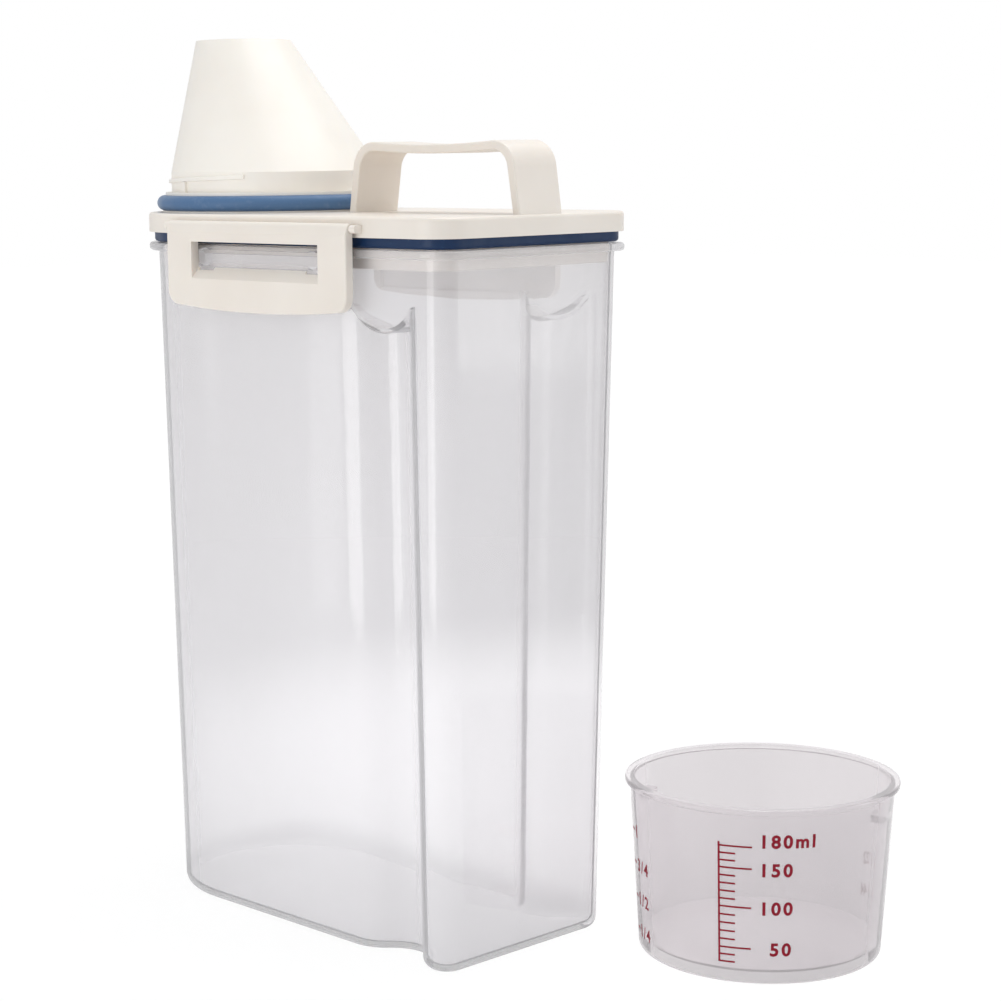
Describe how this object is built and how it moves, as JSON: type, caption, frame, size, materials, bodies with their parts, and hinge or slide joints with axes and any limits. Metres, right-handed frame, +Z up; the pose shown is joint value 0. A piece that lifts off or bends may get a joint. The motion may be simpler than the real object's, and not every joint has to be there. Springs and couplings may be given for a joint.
{
  "type": "pet food storage container",
  "caption": "Tall see-through food keeper with hand grooves, a lid clipped down by side latches, pouring spout and carrying strap, and a loose measuring cup.",
  "frame": {"origin": "middle of the container's flat underside", "axes": "+Z up; the spout is toward -X and the carrying strap toward +X; -Y is the long side whose latch faces forward"},
  "size_m": [0.2521, 0.1479, 0.2915],
  "materials": {
    "clear_plastic": "milky see-through polypropylene, glossy outside",
    "cream_plastic": "satin moulded polypropylene",
    "blue_rubber": "smooth silicone",
    "cup_plastic": "see-through polypropylene with a printed scale"
  },
  "bodies": {
    "container": {"container": "clear_plastic"},
    "lid": {"lid": "cream_plastic", "lid_gasket": "blue_rubber", "spout": "cream_plastic", "spout_seal": "blue_rubber", "handle": "cream_plastic"},
    "front_latch": {"front_latch": "cream_plastic"},
    "rear_latch": {"rear_latch": "cream_plastic"},
    "cup": {"measuring_cup": "cup_plastic"}
  },
  "joints": [
    {"name": "lid_lift", "type": "slide", "parent": "container", "child": "lid", "axis": [0, 0, 1], "range_m": [0, 0.028]},
    {"name": "front_latch_hinge", "type": "hinge", "parent": "lid", "child": "front_latch", "pos_m": [0.0032, -0.04558, 0.2311], "axis": [-1, 0, 0], "range_deg": [0, 145]},
    {"name": "rear_latch_hinge", "type": "hinge", "parent": "lid", "child": "rear_latch", "pos_m": [0.0032, 0.04558, 0.2311], "axis": [1, 0, 0], "range_deg": [0, 145]},
    {"name": "cup_lift", "type": "slide", "parent": "container", "child": "cup", "axis": [0, 0, 1], "range_m": [0, 0.08]}
  ],
  "couplings": [
    {"joint": "front_latch_hinge", "follows": "lid_lift", "rad_per_m": 90.3},
    {"joint": "rear_latch_hinge", "follows": "lid_lift", "rad_per_m": 90.3}
  ]
}
